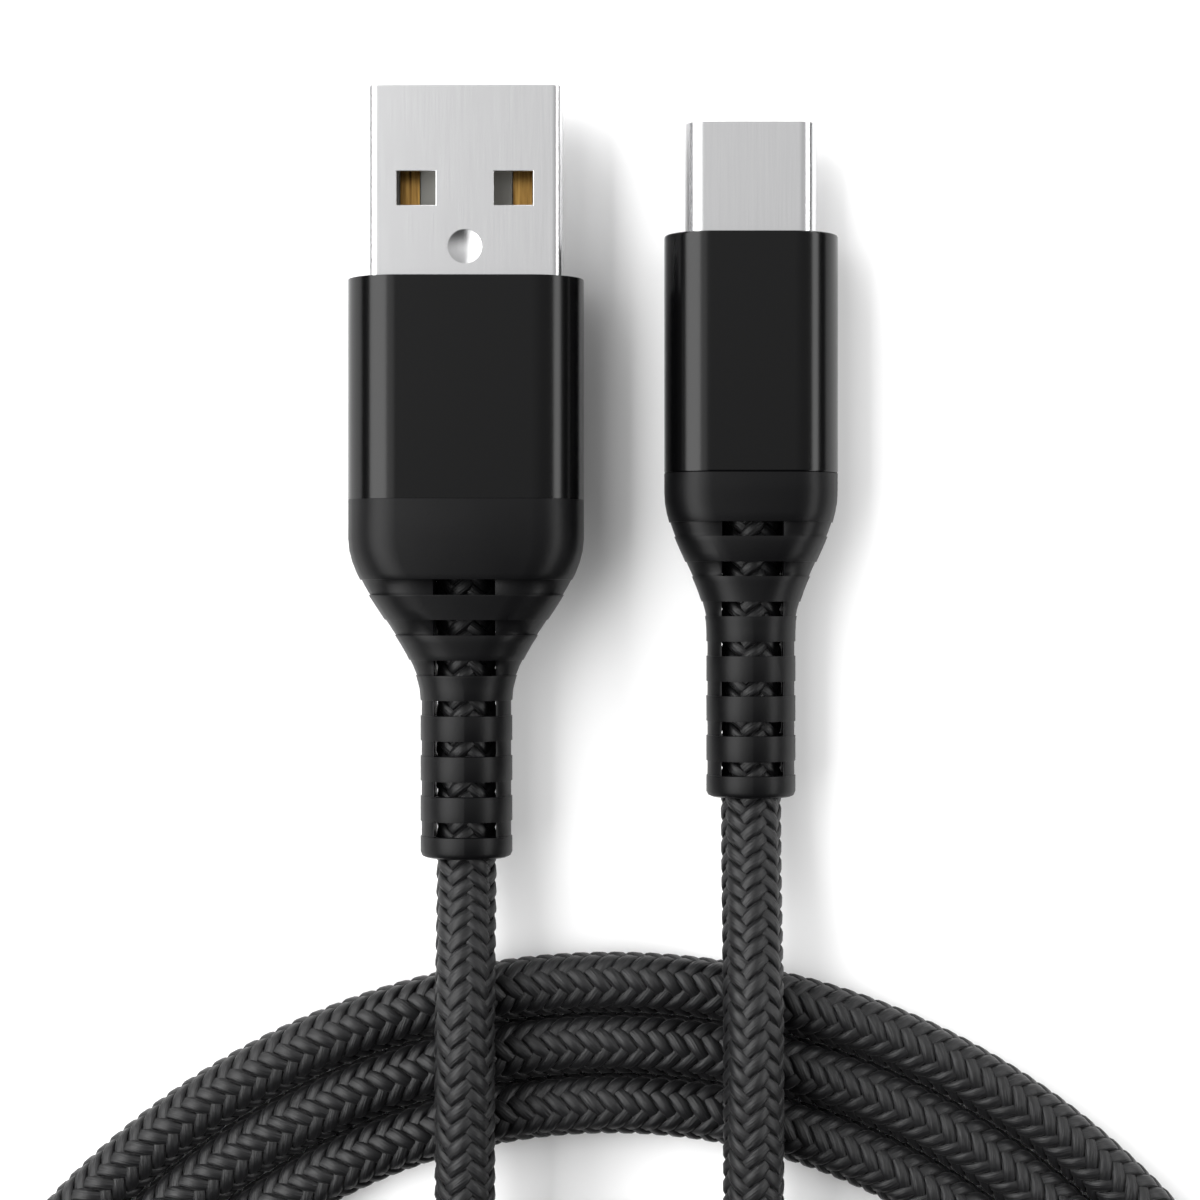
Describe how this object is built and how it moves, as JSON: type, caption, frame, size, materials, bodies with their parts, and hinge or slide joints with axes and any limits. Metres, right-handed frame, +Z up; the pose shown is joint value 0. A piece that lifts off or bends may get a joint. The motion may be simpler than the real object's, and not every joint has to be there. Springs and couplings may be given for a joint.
{
  "type": "charging cable",
  "caption": "Braided charging cable with a USB-A plug and a USB-C plug, its length laid in a flat coil and held by a fabric tie.",
  "frame": {"origin": "on the surface the cable lies on, under the middle of the box of the two plugs (the cord, coil and tie left out)", "axes": "+Z up from the surface, +Y along both plugs towards their tips, +X across from the USB-A plug to the USB-C plug"},
  "size_m": [0.0875, 0.1227, 0.0081],
  "materials": {
    "nickel_steel": "bright nickel-plated steel",
    "gold_contact": "gold-plated copper alloy, satin",
    "carrier_plastic": "moulded light grey plastic",
    "housing_plastic": "moulded black plastic",
    "black_anodised": "glossy black anodised aluminium",
    "boot_rubber": "satin black elastomer",
    "mould_plastic": "moulded black plastic",
    "brass_ferrule": "rolled brass",
    "jacket_rubber": "matt black cable jacket",
    "circuit_board": "green solder mask",
    "resistor_body": "black chip resistor",
    "wire_red": "red wire insulation",
    "wire_black": "black wire insulation",
    "wire_green": "green wire insulation",
    "wire_white": "white wire insulation",
    "black_braid": "braided black nylon yarn",
    "tie_fabric": "black hook-and-loop fabric"
  },
  "bodies": {
    "cable": {"cord_coil": "black_braid", "cord_lead_usb_a": "black_braid", "cord_lead_usb_c": "black_braid", "cord_tie": "tie_fabric", "usb_a_boot": "boot_rubber", "usb_a_contact_carrier": "carrier_plastic", "usb_a_contact_data_minus": "gold_contact", "usb_a_contact_data_plus": "gold_contact", "usb_a_contact_ground": "gold_contact", "usb_a_contact_vbus": "gold_contact", "usb_a_crimp_ferrule": "brass_ferrule", "usb_a_inner_mould": "mould_plastic", "usb_a_jacket_end": "jacket_rubber", "usb_a_shell": "nickel_steel", "usb_a_sleeve": "black_anodised", "usb_a_wire_black": "wire_black", "usb_a_wire_green": "wire_green", "usb_a_wire_red": "wire_red", "usb_a_wire_white": "wire_white", "usb_c_board": "circuit_board", "usb_c_boot": "boot_rubber", "usb_c_contact_a12_ground": "gold_contact", "usb_c_contact_a1_ground": "gold_contact", "usb_c_contact_a4_vbus": "gold_contact", "usb_c_contact_a5_cc": "gold_contact", "usb_c_contact_a6_data_plus": "gold_contact", "usb_c_contact_a7_data_minus": "gold_contact", "usb_c_contact_a9_vbus": "gold_contact", "usb_c_contact_b12_ground": "gold_contact", "usb_c_contact_b1_ground": "gold_contact", "usb_c_contact_b4_vbus": "gold_contact", "usb_c_contact_b9_vbus": "gold_contact", "usb_c_contact_housing": "housing_plastic", "usb_c_crimp_ferrule": "brass_ferrule", "usb_c_inner_mould": "mould_plastic", "usb_c_jacket_end": "jacket_rubber", "usb_c_pull_up_resistor": "resistor_body", "usb_c_shell": "nickel_steel", "usb_c_sleeve": "black_anodised", "usb_c_wire_black": "wire_black", "usb_c_wire_green": "wire_green", "usb_c_wire_red": "wire_red", "usb_c_wire_white": "wire_white"},
    "latch_left": {"usb_c_latch_left": "nickel_steel"},
    "latch_right": {"usb_c_latch_right": "nickel_steel"}
  },
  "joints": [
    {"name": "latch_left_flex", "type": "hinge", "parent": "cable", "child": "latch_left", "pos_m": [0.00654, 0.01302, 0.0031], "axis": [0, 0, 1], "range_deg": [0, 3], "stiffness_Nm_per_rad": 0.4},
    {"name": "latch_right_flex", "type": "hinge", "parent": "cable", "child": "latch_right", "pos_m": [0.01304, 0.01302, 0.0031], "axis": [0, 0, 1], "range_deg": [-3, 0], "stiffness_Nm_per_rad": 0.4}
  ]
}
